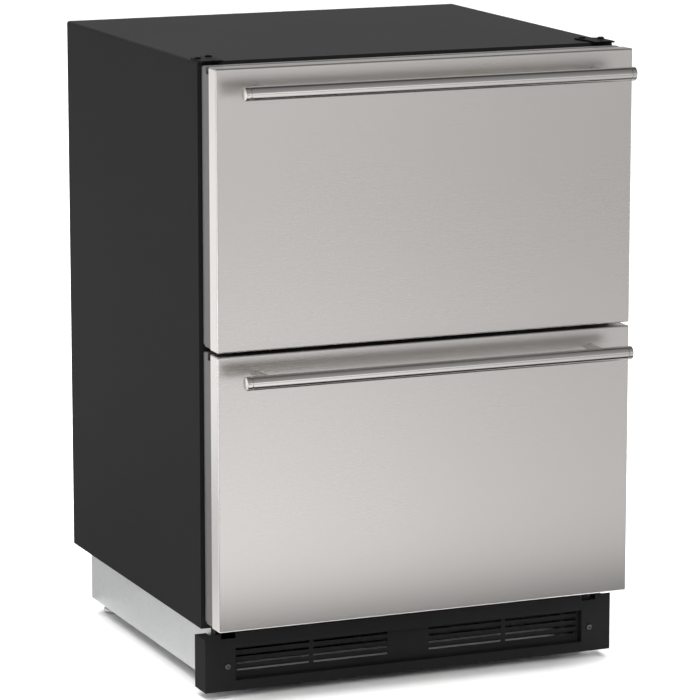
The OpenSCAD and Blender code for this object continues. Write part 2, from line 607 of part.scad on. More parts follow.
module handle_bar(z1) color(steel) place() translate([-bar_l / 2, -bar_out, z1 - bar_drop]) rotate([0, 90, 0])
  rotate_extrude() polygon([
    [0, 0], [bar_r - 1, 0], [bar_r, 1], [bar_r, 6.5], [bar_r - 0.7, 6.8], [bar_r - 0.7, 7.6], [bar_r, 7.9],
    [bar_r, bar_l - 7.9], [bar_r - 0.7, bar_l - 7.6], [bar_r - 0.7, bar_l - 6.8], [bar_r, bar_l - 6.5], [bar_r, bar_l - 1], [bar_r - 1, bar_l], [0, bar_l]
  ]);

module handle_posts(z1) color(steel) place() both() difference() {
  ycyl(post_pitch / 2, z1 - bar_drop, post_d / 2, -bar_out, 0);
  xcyl(-bar_out, z1 - bar_drop, bar_r, 0, bar_l);
  ycyl(post_pitch / 2, z1 - bar_drop, 2.5, -22, 1);
}

module handle_screws(z1) color(zinc) place() both()
  translate([post_pitch / 2, 1.2, z1 - bar_drop]) rotate([-90, 0, 0]) {
    difference() {
      cylinder(r = 5, h = 3);
      translate([0, 0, 1.2]) cylinder(r = 2, h = 3, $fn = 6);
    }
    translate([0, 0, -20]) cylinder(r = 2.45, h = 20.5);
  }

// ------------------------------------------------------------------- bins

// Rolled rim around a bin's top edge, y0 to y1, under z
module rim(y0, y1, z) difference() {
  box(-bin_x - 6, bin_x + 6, y0, y1 + 6, z - 8, z);
  box(-bin_x + bin_t, bin_x - bin_t, y0 - 1, y1 - bin_t, z - 9, z + 1);
  box(-bin_x - 6 + bin_t, bin_x + 6 - bin_t, y0 - 1, y1 + 6 - bin_t, z - 9, z - bin_t);
}
module upper_bin() color(steel) place() {
  difference() {
    translate([0, 0, up_bin[2]]) linear_extrude(up_bin[3] - up_bin[2])
      rrect(-bin_x, bin_x, up_bin[0], up_bin[1], bin_r);
    translate([0, 0, up_bin[2] + bin_t]) linear_extrude(400)
      rrect(-bin_x + bin_t, bin_x - bin_t, up_bin[0] + bin_t, up_bin[1] - bin_t, bin_r - bin_t);
  }
  rim(up_bin[0] + 12, up_bin[1], up_bin[3]);
}
module lower_bin() color(steel) place() {
  difference() {
    union() {
      translate([0, 0, lo_bin[2]]) linear_extrude(lo_bin[3] - lo_bin[2])
        rrect(-bin_x, bin_x, lo_bin[0], lo_bin_step[0], bin_r);
      translate([0, 0, lo_bin_step[1]]) linear_extrude(lo_bin[3] - lo_bin_step[1])
        rrect(-bin_x, bin_x, lo_bin[0], lo_bin[1], bin_r);
    }
    translate([0, 0, lo_bin[2] + bin_t]) linear_extrude(lo_bin[3])
      rrect(-bin_x + bin_t, bin_x - bin_t, lo_bin[0] + bin_t, lo_bin_step[0] - bin_t, bin_r - bin_t);
    translate([0, 0, lo_bin_step[1] + bin_t]) linear_extrude(lo_bin[3])
      rrect(-bin_x + bin_t, bin_x - bin_t, lo_bin[0] + bin_t, lo_bin[1] - bin_t, bin_r - bin_t);
  }
  rim(lo_bin[0] + 12, lo_bin[1], lo_bin[3]);
}

outer_wrapper();
back_panel();
cabinet_bottom();
insulation_foam();
inner_liner();
front_frame();
centre_mullion();
base_frame();
base_pan();
toe_grille();
cabinet_screws();
top_brackets();
machine_cover();
compressor_shell();
compressor_mounts();
condenser_coil();
condenser_fan_motor();
condenser_fan_shroud();
drip_tray();
drain_tube();
filter_drier();
refrigerant_lines();
evaporator_coil();
evaporator_cover();
evaporator_fan_motor();
control_panel();
light_lens();
temperature_sensor();
power_inlet();
slide_outer_members();
condenser_fan_blade();
evaporator_fan_blade();
front_pan(up_z0, up_z1);  // upper_front_pan
backer_trim(up_z0, up_z1);  // upper_backer_trim
inner_door(up_z0, up_z1);  // upper_inner_door
door_foam(up_z0, up_z1);  // upper_door_foam
door_liner(up_z0, up_z1);  // upper_door_liner
gasket(up_z0 + 3, up_z1 - 5);  // upper_gasket
handle_bar(up_z1);  // upper_handle_bar
handle_posts(up_z1);  // upper_handle_posts
handle_screws(up_z1);  // upper_handle_screws
upper_bin();
slide_inner(up_slide);  // upper_slide_inner_members
slide_middle(up_slide);  // upper_slide_middle_members
front_pan(lo_z0, lo_z1);  // lower_front_pan
backer_trim(lo_z0, lo_z1);  // lower_backer_trim
inner_door(lo_z0, lo_z1);  // lower_inner_door
door_foam(lo_z0, lo_z1);  // lower_door_foam
door_liner(lo_z0, lo_z1);  // lower_door_liner
gasket(lo_z0 + 3, lo_z1 - 3);  // lower_gasket
handle_bar(lo_z1);  // lower_handle_bar
handle_posts(lo_z1);  // lower_handle_posts
handle_screws(lo_z1);  // lower_handle_screws
lower_bin();
slide_inner(lo_slide);  // lower_slide_inner_members
slide_middle(lo_slide);  // lower_slide_middle_members
leg(-leg_x, leg_y[0]);  // leg_front_left
leg(leg_x, leg_y[0]);  // leg_front_right
leg(-leg_x, leg_y[1]);  // leg_rear_left
leg(leg_x, leg_y[1]);  // leg_rear_right
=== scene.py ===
# Looks of an undercounter drawer refrigerator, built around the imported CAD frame.
# Metres, +Z up, floor at z = 0, drawers open towards -Y. The CAD counts its own Y
# from the drawers' front face; Y0 below is that face in the row frame.
import bpy, bmesh, math, json, random
from mathutils import Vector, Matrix


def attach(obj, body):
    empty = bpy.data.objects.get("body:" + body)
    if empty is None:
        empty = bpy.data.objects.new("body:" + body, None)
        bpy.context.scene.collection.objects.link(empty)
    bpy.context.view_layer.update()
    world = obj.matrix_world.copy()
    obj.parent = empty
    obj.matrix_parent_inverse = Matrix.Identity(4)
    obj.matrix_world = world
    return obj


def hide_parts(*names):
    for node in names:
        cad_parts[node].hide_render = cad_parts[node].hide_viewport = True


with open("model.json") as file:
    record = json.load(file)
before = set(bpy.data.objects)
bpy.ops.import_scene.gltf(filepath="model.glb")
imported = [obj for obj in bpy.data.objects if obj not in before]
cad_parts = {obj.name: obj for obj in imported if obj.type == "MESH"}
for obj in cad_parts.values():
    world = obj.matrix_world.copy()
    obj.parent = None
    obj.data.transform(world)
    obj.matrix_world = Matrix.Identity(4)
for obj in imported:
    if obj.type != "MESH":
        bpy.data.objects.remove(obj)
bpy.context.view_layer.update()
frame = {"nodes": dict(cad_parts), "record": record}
N = frame["nodes"]
scene = bpy.context.scene
coll = scene.collection
Y0 = -0.27025


def mm(*v):
    """A point given in the CAD's own millimetres, as metres in the row frame."""
    return Vector((v[0] / 1000, v[1] / 1000 + Y0, v[2] / 1000))


# ------------------------------------------------------------------ camera
cam_data = bpy.data.cameras.new("camera")
cam_data.sensor_width = 36.0
cam_data.lens = 208.1
cam_data.clip_start, cam_data.clip_end = 0.1, 100
cam = bpy.data.objects.new("camera", cam_data)
cam.location = (-2.15993, -5.17163, 1.50804)
cam.rotation_euler = (math.pi / 2 - 0.1914, 0.0, -0.3955)
coll.objects.link(cam)
scene.camera = cam
scene.view_settings.view_transform = "Standard"


# --------------------------------------------------------------- materials
def new_material(name):
    m = bpy.data.materials.new(name)
    m.use_nodes = True
    nt = m.node_tree
    nt.nodes.clear()
    out = nt.nodes.new("ShaderNodeOutputMaterial")
    b = nt.nodes.new("ShaderNodeBsdfPrincipled")
    nt.links.new(b.outputs["BSDF"], out.inputs["Surface"])
    return m, nt, b


def coords(nt, scale=(1, 1, 1), rot=(0, 0, 0)):
    tc = nt.nodes.new("ShaderNodeTexCoord")
    mp = nt.nodes.new("ShaderNodeMapping")
    mp.inputs["Scale"].default_value = scale
    mp.inputs["Rotation"].default_value = rot
    nt.links.new(tc.outputs["Object"], mp.inputs["Vector"])
    return mp.outputs["Vector"]


def noise(nt, vec, scale, detail=2.0, rough=0.5, distortion=0.0):
    n = nt.nodes.new("ShaderNodeTexNoise")
    n.inputs["Scale"].default_value = scale
    n.inputs["Detail"].default_value = detail
    n.inputs["Roughness"].default_value = rough
    n.inputs["Distortion"].default_value = distortion
    nt.links.new(vec, n.inputs["Vector"])
    return n.outputs["Fac"]


def ramp(nt, fac, lo, hi, a=0.3, b=0.7):
    """Maps fac from a..b to lo..hi."""
    r = nt.nodes.new("ShaderNodeMapRange")
    r.inputs["From Min"].default_value = a
    r.inputs["From Max"].default_value = b
    r.inputs["To Min"].default_value = lo
    r.inputs["To Max"].default_value = hi
    nt.links.new(fac, r.inputs["Value"])
    return r.outputs["Result"]


def tint(nt, fac, c0, c1):
    m = nt.nodes.new("ShaderNodeMix")
    m.data_type = "RGBA"
    m.inputs["A"].default_value = (*c0, 1)
    m.inputs["B"].default_value = (*c1, 1)
    nt.links.new(fac, m.inputs["Factor"])
    return m.outputs["Result"]


def bump(nt, b, height, strength, distance, normal=None):
    k = nt.nodes.new("ShaderNodeBump")
    k.inputs["Strength"].default_value = strength
    k.inputs["Distance"].default_value = distance
    nt.links.new(height, k.inputs["Height"])
    if normal is not None:
        nt.links.new(normal, k.inputs["Normal"])
    nt.links.new(k.outputs["Normal"], b.inputs["Normal"])
    return k.outputs["Normal"]


def add(nt, a, b, op="ADD"):
    m = nt.nodes.new("ShaderNodeMath")
    m.operation = op
    for i, v in enumerate((a, b)):
        if isinstance(v, (int, float)):
            m.inputs[i].default_value = v
        else:
            nt.links.new(v, m.inputs[i])
    return m.outputs[0]


def brushed(name, base, rough, axis, grain=1.0, aniso=0.4, var=0.012):
    """Brushed metal whose grain runs along axis (0 X, 1 Y, 2 Z)."""
    m, nt, b = new_material(name)
    s_fine = [2600.0, 2600.0, 2600.0]
    s_fine[axis] = 22.0
    s_mid = [700.0, 700.0, 700.0]
    s_mid[axis] = 5.0
    fine = noise(nt, coords(nt, s_fine), 1.0, 3, 0.6)
    mid = noise(nt, coords(nt, s_mid), 1.0, 2, 0.5)
    cloud = noise(nt, coords(nt), 2.2, 3, 0.55)
    both = add(nt, add(nt, fine, 0.6, "MULTIPLY"), add(nt, mid, 0.4, "MULTIPLY"))
    c0 = tuple(c * (1 - var) for c in base)
    c1 = tuple(min(1.0, c * (1 + var)) for c in base)
    nt.links.new(tint(nt, ramp(nt, both, 0, 1, 0.35, 0.65), c0, c1), b.inputs["Base Color"])
    r = add(nt, ramp(nt, both, rough - 0.015 * grain, rough + 0.015 * grain, 0.35, 0.65),
            ramp(nt, cloud, -0.01, 0.01), "ADD")
    nt.links.new(r, b.inputs["Roughness"])
    b.inputs["Metallic"].default_value = 1.0
    b.inputs["Anisotropic"].default_value = aniso
    tg = nt.nodes.new("ShaderNodeTangent")
    tg.direction_type = "RADIAL"
    tg.axis = "Z" if axis != 2 else "X"
    if aniso > 0:
        nt.links.new(tg.outputs["Tangent"], b.inputs["Tangent"])
    bump(nt, b, both, 0.012 * grain, 0.00005)
    return m


def painted_shade_below(mat, lo=-0.62, hi=-0.30, dark=0.22):
    """Paints shade into a metal's colour where its surface faces down: painted shade on the underside of a bar."""
    nt = mat.node_tree
    b = next(n for n in nt.nodes if n.type == "BSDF_PRINCIPLED")
    link = b.inputs["Base Color"].links[0]
    geo = nt.nodes.new("ShaderNodeNewGeometry")
    sep = nt.nodes.new("ShaderNodeSeparateXYZ")
    nt.links.new(geo.outputs["Normal"], sep.inputs["Vector"])
    f = ramp(nt, sep.outputs["Z"], dark, 1.0, lo, hi)
    mul = nt.nodes.new("ShaderNodeMix")
    mul.data_type = "RGBA"
    # colour of the painted shade on the downward faces
    mul.inputs["A"].default_value = (0.03, 0.03, 0.03, 1)
    nt.links.new(f, mul.inputs["Factor"])
    nt.links.new(link.from_socket, mul.inputs["B"])
    nt.links.new(mul.outputs["Result"], b.inputs["Base Color"])
    return mat


def painted(name, base, rough, peel=0.12, peel_size=900.0, spec=0.35, var=0.12, dust=0.0):
    """Powder coat: fine orange peel and slight colour variation; the dust argument is not used."""
    m, nt, b = new_material(name)
    v = coords(nt)
    fine = noise(nt, v, peel_size, 2, 0.5)
    mid = noise(nt, v, peel_size / 4, 2, 0.5)
    cloud = noise(nt, v, 5.0, 4, 0.6)
    c0 = tuple(c * (1 - var) for c in base)
    c1 = tuple(c * (1 + var) for c in base)
    nt.links.new(tint(nt, ramp(nt, cloud, 0, 1), c0, c1), b.inputs["Base Color"])
    nt.links.new(add(nt, ramp(nt, fine, rough - 0.04, rough + 0.04), ramp(nt, cloud, -0.03, 0.03)),
                 b.inputs["Roughness"])
    b.inputs["Specular IOR Level"].default_value = spec
    bump(nt, b, add(nt, fine, add(nt, mid, 0.6, "MULTIPLY")), peel, 0.0003)
    return m


def plastic(name, base, rough, spec=0.45, var=0.05, texture=0.08, size=1400.0, sss=0.0):
    m, nt, b = new_material(name)
    v = coords(nt)
    fine = noise(nt, v, size, 2, 0.6)
    cloud = noise(nt, v, 7.0, 3, 0.5)
    c0 = tuple(c * (1 - var) for c in base)
    c1 = tuple(min(1.0, c * (1 + var)) for c in base)
    nt.links.new(tint(nt, ramp(nt, cloud, 0, 1), c0, c1), b.inputs["Base Color"])
    nt.links.new(add(nt, ramp(nt, fine, rough - 0.05, rough + 0.05), ramp(nt, cloud, -0.02, 0.03)),
                 b.inputs["Roughness"])
    b.inputs["Specular IOR Level"].default_value = spec
    if sss:
        b.inputs["Subsurface Weight"].default_value = sss
        b.inputs["Subsurface Radius"].default_value = (0.004, 0.004, 0.004)
    bump(nt, b, fine, texture, 0.0002)
    return m


def galvanised(name, base=(0.55, 0.555, 0.56), rough=0.38):
    """Zinc-coated sheet: small spangle cells that differ a little in tone and roughness."""
    m, nt, b = new_material(name)
    v = coords(nt)
    vo = nt.nodes.new("ShaderNodeTexVoronoi")
    vo.inputs["Scale"].default_value = 210.0
    vo.inputs["Randomness"].default_value = 1.0
    nt.links.new(v, vo.inputs["Vector"])
    sep = nt.nodes.new("ShaderNodeSeparateColor")
    nt.links.new(vo.outputs["Color"], sep.inputs["Color"])
    fine = noise(nt, v, 900, 2, 0.5)
    cloud = noise(nt, v, 6.0, 3, 0.6)
    mix = add(nt, add(nt, sep.outputs["Red"], 0.5, "MULTIPLY"), add(nt, cloud, 0.5, "MULTIPLY"))
    nt.links.new(tint(nt, mix, tuple(c * 0.95 for c in base), tuple(min(1, c * 1.04) for c in base)),
                 b.inputs["Base Color"])
    nt.links.new(add(nt, ramp(nt, sep.outputs["Green"], rough - 0.03, rough + 0.04, 0, 1),
                     ramp(nt, cloud, -0.03, 0.04)), b.inputs["Roughness"])
    b.inputs["Metallic"].default_value = 0.85
    bump(nt, b, add(nt, fine, add(nt, sep.outputs["Blue"], 0.5, "MULTIPLY")), 0.05, 0.0003)
    return m


def foam_material(name):
    m, nt, b = new_material(name)
    v = coords(nt)
    cell = nt.nodes.new("ShaderNodeTexVoronoi")
    cell.inputs["Scale"].default_value = 700.0
    nt.links.new(v, cell.inputs["Vector"])
    cloud = noise(nt, v, 18.0, 4, 0.6)
    nt.links.new(tint(nt, ramp(nt, cloud, 0, 1), (0.72, 0.6, 0.34), (0.86, 0.76, 0.5)), b.inputs["Base Color"])
    b.inputs["Roughness"].default_value = 0.9
    b.inputs["Specular IOR Level"].default_value = 0.2
    bump(nt, b, add(nt, cell.outputs["Distance"], cloud), 0.5, 0.0012)
    return m


def metal(name, base, rough, var=0.08, patina=None, metallic=1.0):
    m, nt, b = new_material(name)
    v = coords(nt)
    cloud = noise(nt, v, 40.0, 4, 0.65)
    fine = noise(nt, v, 1500, 2, 0.5)
    c1 = patina or tuple(c * (1 - 2 * var) for c in base)
    nt.links.new(tint(nt, ramp(nt, cloud, 0, 1, 0.35, 0.75), base, c1), b.inputs["Base Color"])
    nt.links.new(add(nt, ramp(nt, fine, rough - 0.04, rough + 0.05), ramp(nt, cloud, -0.03, 0.08)),
                 b.inputs["Roughness"])
    b.inputs["Metallic"].default_value = metallic
    bump(nt, b, fine, 0.04, 0.0002)
    return m


MAT = {
    "stainless": brushed("brushed_stainless", (0.71, 0.686, 0.664), 0.28, 0, 0.35, 0.25, 0.006),
    "handle_steel": brushed("brushed_bar", (0.72, 0.70, 0.68), 0.15, 0, 0.8, 0.2),
    "bin_steel": brushed("bin_sheet", (0.60, 0.60, 0.595), 0.40, 0, 0.6, 0.2),
    "black_paint": painted("black_powder_coat", (0.014, 0.014, 0.0145), 0.5, 0.10, 1100.0, 0.018),
    "black_plastic": plastic("black_plastic", (0.014, 0.014, 0.015), 0.5, 0.15),
    "galvanised": galvanised("galvanised_sheet"),
    "zinc_screw": metal("zinc_plate", (0.62, 0.62, 0.6), 0.3),
    "dark_screw": metal("black_zinc", (0.15, 0.15, 0.155), 0.34, metallic=0.8),
    "foam": foam_material("rigid_foam"),
    "liner": plastic("liner_sheet", (0.05, 0.051, 0.055), 0.33, 0.5, 0.05, 0.05),
    "door_grey": plastic("door_grey", (0.07, 0.067, 0.065), 0.4, 0.5, 0.05, 0.06),
    "gasket": plastic("gasket_vinyl", (0.018, 0.018, 0.018), 0.55, 0.4, 0.1, 0.12, 500),
    "rubber": plastic("black_rubber", (0.016, 0.016, 0.016), 0.7, 0.3, 0.12, 0.2, 600),
    "compressor_paint": painted("compressor_paint", (0.012, 0.012, 0.013), 0.25, 0.12, 350.0, 0.5),
    "copper": metal("drawn_copper", (0.80, 0.42, 0.26), 0.28, patina=(0.52, 0.25, 0.15)),
    "condenser_paint": painted("dipped_paint", (0.02, 0.02, 0.022), 0.4, 0.1, 700.0, 0.4),
    "aluminium": metal("mill_aluminium", (0.78, 0.79, 0.8), 0.33),
    "fan_plastic": plastic("fan_plastic", (0.10, 0.10, 0.105), 0.42, 0.45),
    "white_plastic": plastic("white_plastic", (0.72, 0.72, 0.70), 0.42, 0.45, 0.03, 0.05),
    "lens": plastic("lens_opal", (0.80, 0.82, 0.84), 0.22, 0.5, 0.02, 0.02, sss=0.4),
    "leg_steel": metal("leg_zinc", (0.55, 0.55, 0.56), 0.36),
    "bracket_black": painted("bracket_black", (0.004, 0.004, 0.0042), 0.42, 0.08, 900.0, 0.02),
    "screw_black": metal("screw_black", (0.012, 0.012, 0.013), 0.45, metallic=0.3),
    "screw_bright": metal("screw_bright", (0.12, 0.12, 0.118), 0.32),
}
# painted shade on the undersides of the handle bars and posts
painted_shade_below(MAT["handle_steel"])
SLOT = {s["node"]: s["material_slot"] for s in frame["record"]["subparts"]}
BODY = {n: b for b, l in frame["record"]["behaviour"]["bodies"].items() for n in l}
for n, o in N.items():
    o.data.materials.clear()
    o.data.materials.append(MAT[SLOT[n]])


# ------------------------------------------------------------ mesh helpers
def finish_mesh(name, bm, mat, smooth=35.0):
    bmesh.ops.recalc_face_normals(bm, faces=bm.faces[:])
    me = bpy.data.meshes.new(name)
    bm.to_mesh(me)
    bm.free()
    for p in me.polygons:
        p.use_smooth = True
    o = bpy.data.objects.new(name, me)
    coll.objects.link(o)
    me.materials.append(mat)
    if smooth:
        me.set_sharp_from_angle(angle=math.radians(smooth))
    return o


def piece(o, body, slot=None, *nodes):
    if nodes:
        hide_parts(*nodes)
    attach(o, body)
    return o


PLAIN = {"control_panel", "light_lens", "back_panel", "centre_mullion", "upper_backer_trim", "lower_backer_trim",
         "upper_door_liner", "lower_door_liner", "upper_inner_door", "lower_inner_door", "temperature_sensor"}


def refine(node, width=0.4, segs=2, angle=38.0, mat=None, keep=None):
    """A copy of a CAD node's shape whose sharp edges are slightly rounded, which stands for the node."""
    src = N[node]
    bm = bmesh.new()
    bm.from_mesh(src.data)
    bmesh.ops.remove_doubles(bm, verts=bm.verts[:], dist=2e-6)
    if node in PLAIN:
        bmesh.ops.dissolve_limit(bm, angle_limit=math.radians(0.4), verts=bm.verts[:], edges=bm.edges[:])
    lim = math.radians(angle)
    edges = [e for e in bm.edges if len(e.link_faces) == 2 and e.calc_face_angle(0) > lim and (keep is None or keep(e))]
    if edges and width:
        bmesh.ops.bevel(bm, geom=edges, offset=width / 1000, segments=segs, profile=0.6, affect="EDGES",
                        clamp_overlap=True, miter_outer="ARC" if segs > 1 else "SHARP")
    ref = bmesh.new()
    ref.from_mesh(src.data)
    v0, v1 = abs(ref.calc_volume()), abs(bm.calc_volume())
    ref.free()
    if any(not e.is_manifold for e in bm.edges) or abs(v1 - v0) > 0.04 * v0:
        bm.free()
        print("kept as it is:", node, round(v0 * 1e9), round(v1 * 1e9))
        return None
    o = finish_mesh(node + ".fine", bm, mat or MAT[SLOT[node]], 32.0)
    w = o.modifiers.new("weighted", "WEIGHTED_NORMAL")
    w.keep_sharp = True
    w.weight = 60
    piece(o, BODY[node], SLOT[node], node)
    return o


def lathe(name, prof, mat, place, segs=64, smooth=32.0):
    """prof is a closed or open list of (radius, height) in mm, turned about local Z; place is a 4x4 matrix."""
    bm = bmesh.new()
    rings = []
    for r, h in prof:
        if r < 1e-6:
            rings.append([bm.verts.new((0, 0, h / 1000))])
        else:
            rings.append([bm.verts.new((r / 1000 * math.cos(2 * math.pi * k / segs),
                                        r / 1000 * math.sin(2 * math.pi * k / segs), h / 1000)) for k in range(segs)])
    for a, b in zip(rings, rings[1:]):
        for k in range(segs):
            j = (k + 1) % segs
            if len(a) == 1 and len(b) > 1:
                bm.faces.new((a[0], b[k], b[j]))
            elif len(b) == 1 and len(a) > 1:
                bm.faces.new((a[k], a[j], b[0]))
            elif len(a) > 1 and len(b) > 1:
                bm.faces.new((a[k], a[j], b[j], b[k]))
    bm.transform(place)
    return finish_mesh(name, bm, mat, smooth)


def along(axis, origin):
    """Matrix that turns local Z to the axis and moves to origin, in the CAD's millimetres."""
    q = Vector((0, 0, 1)).rotation_difference(Vector(axis))
    return Matrix.Translation(mm(*origin)) @ q.to_matrix().to_4x4()


def join(name, objs):
    """Joins meshes made here into one object."""
    bm = bmesh.new()
    mats = []
    for o in objs:
        k = len(bm.faces)
        bm.from_mesh(o.data)
        bm.faces.ensure_lookup_table()
        m = o.data.materials[0]
        if m not in mats:
            mats.append(m)
        for f in bm.faces[k:]:
            f.material_index = mats.index(m)
    sharp = [o.data for o in objs]
    me = bpy.data.meshes.new(name)
    bm.to_mesh(me)
    bm.free()
    for o in objs:
        bpy.data.objects.remove(o)
    for d in sharp:
        bpy.data.meshes.remove(d)
    for m in mats:
        me.materials.append(m)
    o = bpy.data.objects.new(name, me)
    coll.objects.link(o)
    for q in me.polygons:
        q.use_smooth = True
    me.set_sharp_from_angle(angle=math.radians(32))
    return o


# -------------------------------------------------------------- stage, light
def make_floor():
    bm = bmesh.new()
    s = 30.0
    vs = [bm.verts.new((x, y, -0.0005)) for x, y in ((-s, -s), (s, -s), (s, s), (-s, s))]
    bm.faces.new(vs)
    m, nt, b = new_material("studio_floor")
    v = coords(nt)
    nt.links.new(tint(nt, noise(nt, v, 3.0, 3), (0.90, 0.90, 0.90), (0.93, 0.93, 0.93)), b.inputs["Base Color"])
    b.inputs["Roughness"].default_value = 0.85
    b.inputs["Specular IOR Level"].default_value = 0.15
    o = finish_mesh("floor", bm, m, 0)


def area(name, loc, target, size, power, color=(1, 1, 1), sizey=None):
    d = bpy.data.lights.new(name, "AREA")
    d.energy = power
    d.color = color
    d.shape = "RECTANGLE"
    d.size = size
    d.size_y = sizey or size
    o = bpy.data.objects.new(name, d)
    o.location = loc
    o.rotation_euler = (Vector(target) - Vector(loc)).to_track_quat("-Z", "Y").to_euler()
    o.visible_camera = False
    coll.objects.link(o)
    return o


def card(name, corners, a, b, stops, sides=None):
    """A glowing studio card that shows only in reflections. Its strength runs from the point a to the
    point b through the stops (place along the way, strength). Sides weighs the part that the left
    and the right edge of the drawer fronts mirror towards the camera."""
    bm = bmesh.new()
    bm.faces.new([bm.verts.new(c) for c in corners])
    m, nt, pb = new_material(name)
    tc = coords(nt)
    d = Vector(b) - Vector(a)
    dot = nt.nodes.new("ShaderNodeVectorMath")
    dot.operation = "DOT_PRODUCT"
    nt.links.new(tc, dot.inputs[0])
    dot.inputs[1].default_value = d / d.length_squared
    along_it = add(nt, dot.outputs["Value"], -Vector(a).dot(d) / d.length_squared)
    cr = nt.nodes.new("ShaderNodeValToRGB")
    el = cr.color_ramp.elements
    while len(el) < len(stops):
        el.new(0.5)
    for e, (at, v) in zip(el, stops):
        e.position = at
        e.color = (v, v, v, 1)
    nt.links.new(along_it, cr.inputs["Fac"])
    if sides is None:
        pb.inputs["Emission Strength"].default_value = 1.0
    seen = nt.nodes.new("ShaderNodeVectorMath")
    seen.operation = "DOT_PRODUCT"
    nt.links.new(tc, seen.inputs[0])
    seen.inputs[1].default_value = (1.0, 0.418, 0.0)
    x0 = add(nt, seen.outputs["Value"], 0.113)
    if sides:
        nt.links.new(add(nt, ramp(nt, x0, sides[0], sides[1], -0.35, 0.35), ramp(nt, x0, 0.55, 0.0, -1.5, -0.6), "SUBTRACT"),
                     pb.inputs["Emission Strength"])
    nt.links.new(cr.outputs["Color"], pb.inputs["Emission Color"])
    nt.links.new(tint(nt, noise(nt, tc, 2.0, 2), (0.004,) * 3, (0.006,) * 3), pb.inputs["Base Color"])
    pb.inputs["Roughness"].default_value = 1.0
    pb.inputs["Specular IOR Level"].default_value = 0.0
    o = finish_mesh(name, bm, m, 0)
    o.visible_camera = o.visible_diffuse = o.visible_shadow = False
    o.visible_transmission = o.visible_volume_scatter = False
    return o


make_floor()
world = bpy.data.worlds.new("studio")
scene.world = world
world.use_nodes = True
wnt = world.node_tree
bg = wnt.nodes["Background"]
# the sky is brightest at the horizon and a little darker overhead
wtc = wnt.nodes.new("ShaderNodeTexCoord")
wsep = wnt.nodes.new("ShaderNodeSeparateXYZ")
wnt.links.new(wtc.outputs["Generated"], wsep.inputs["Vector"])
wr = wnt.nodes.new("ShaderNodeMapRange")
wr.interpolation_type = "SMOOTHSTEP"
wr.inputs["From Min"].default_value = 0.0
wr.inputs["From Max"].default_value = 0.9
wr.inputs["To Min"].default_value = 0.50
wr.inputs["To Max"].default_value = 0.36
wnt.links.new(wsep.outputs["Z"], wr.inputs["Value"])
wnt.links.new(wr.outputs["Result"], bg.inputs["Strength"])
bg.inputs["Color"].default_value = (1, 0.995, 0.985, 1)
area("back", (1.6, 2.6, 5.0), (1.6, 2.6, 0.0), 6.6, 760, (1, 1, 1), 9.0).visible_glossy = False
area("left", (-5.0, -1.2, 2.2), (-0.3, 0.3, 0.3), 2.6, 22).visible_glossy = False
area("front", (0.2, -4.6, 3.0), (0.0, -1.2, 0.0), 2.4, 110).visible_glossy = False
area("fill", (-2.6, -1.2, 5.0), (-1.6, -0.6, 0.0), 3.2, 230).visible_glossy = False
# what the drawer fronts and the handle bars mirror: a tall card in front, the floor up to it with
# shade close to the drawers, and shade overhead; the left side mirrors the floor behind
card("front_card", [(-1.6, -3.1, 0.01), (3.4, -3.1, 0.01), (3.4, -3.1, 1.1), (-1.6, -3.1, 1.1)],
     (0, -3.1, 0), (0, -3.1, 1.1), [(0.0, 0.72), (0.12, 0.62), (0.36, 0.48), (0.52, 0.54), (0.72, 1.1), (1.0, 1.2)], (1.25, 0.76))
card("floor_card", [(-1.6, -3.1, 0.01), (3.4, -3.1, 0.01), (3.4, -0.36, 0.01), (-1.6, -0.36, 0.01)],
     (0, -0.36, 0.01), (0, -3.1, 0.01), [(0.0, 0.02), (0.085, 0.05), (0.125, 0.55), (0.17, 0.98), (0.3, 0.86), (0.5, 0.80), (1.0, 0.72)],
     (1.25, 0.80))
card("top_card", [(-1.6, -4.0, 1.7), (3.2, -4.0, 1.7), (3.2, 0.25, 1.7), (-1.6, 0.25, 1.7)],
     (0, -4.0, 1.7), (0, 0.25, 1.7), [(0.0, 0.40), (0.55, 0.32), (0.81, 0.22), (0.88, 0.05), (1.0, 0.07)])
card("rear_card", [(-0.31, 0.34, 0.004), (6, 0.34, 0.004), (6, 8, 0.004), (-0.31, 8, 0.004)],
     (0, 0.34, 0), (0, 8, 0), [(0.0, 0.30), (0.1, 0.42), (0.4, 0.5), (1.0, 0.6)])
card("back_card", [(-6, -0.2, 0.004), (-0.31, -0.2, 0.004), (-0.31, 8, 0.004), (-6, 8, 0.004)],
     (0, 0, 0), (0, 8, 0), [(0.0, 1.0), (0.05, 0.72), (0.1, 0.74), (0.2, 1.15), (1.0, 1.2)])

# ------------------------------------------------------- refined CAD shapes
refine("top_brackets", 0.5, mat=MAT["bracket_black"])
for n, wdt in (("outer_wrapper", 0.45), ("back_panel", 0.3), ("toe_grille", 0.35),
               ("machine_cover", 0.35), ("base_frame", 0.35), ("front_frame", 0.8), ("centre_mullion", 0.8),
               ("control_panel", 1.2), ("light_lens", 1.5), ("evaporator_cover", 0.6), ("temperature_sensor", 0.6),
               ("condenser_fan_shroud", 0.5), ("drip_tray", 0.6), ("cabinet_bottom", 0.3), ("base_pan", 0.3)):
    refine(n, wdt)
for u in ("upper", "lower"):
    refine(u + "_backer_trim", 0.4)
    refine(u + "_inner_door", 0.8)
    refine(u + "_door_liner", 2.0, 3)


# ------------------------------------------------------------ drawer fronts
def loft(name, rings, mat, smooth=30.0, cap=False):
    """Skin over closed rings of points in the row frame's metres, all with the same count."""
    bm = bmesh.new()
    vs = [[bm.verts.new(p) for p in r] for r in rings]
    for a, b in zip(vs, vs[1:]):
        for k in range(len(a)):
            j = (k + 1) % len(a)
            bm.faces.new((a[k], a[j], b[j], b[k]))
    if cap:
        bm.faces.new(vs[0])
        bm.faces.new(vs[-1][::-1])
    return finish_mesh(name, bm, mat, smooth)


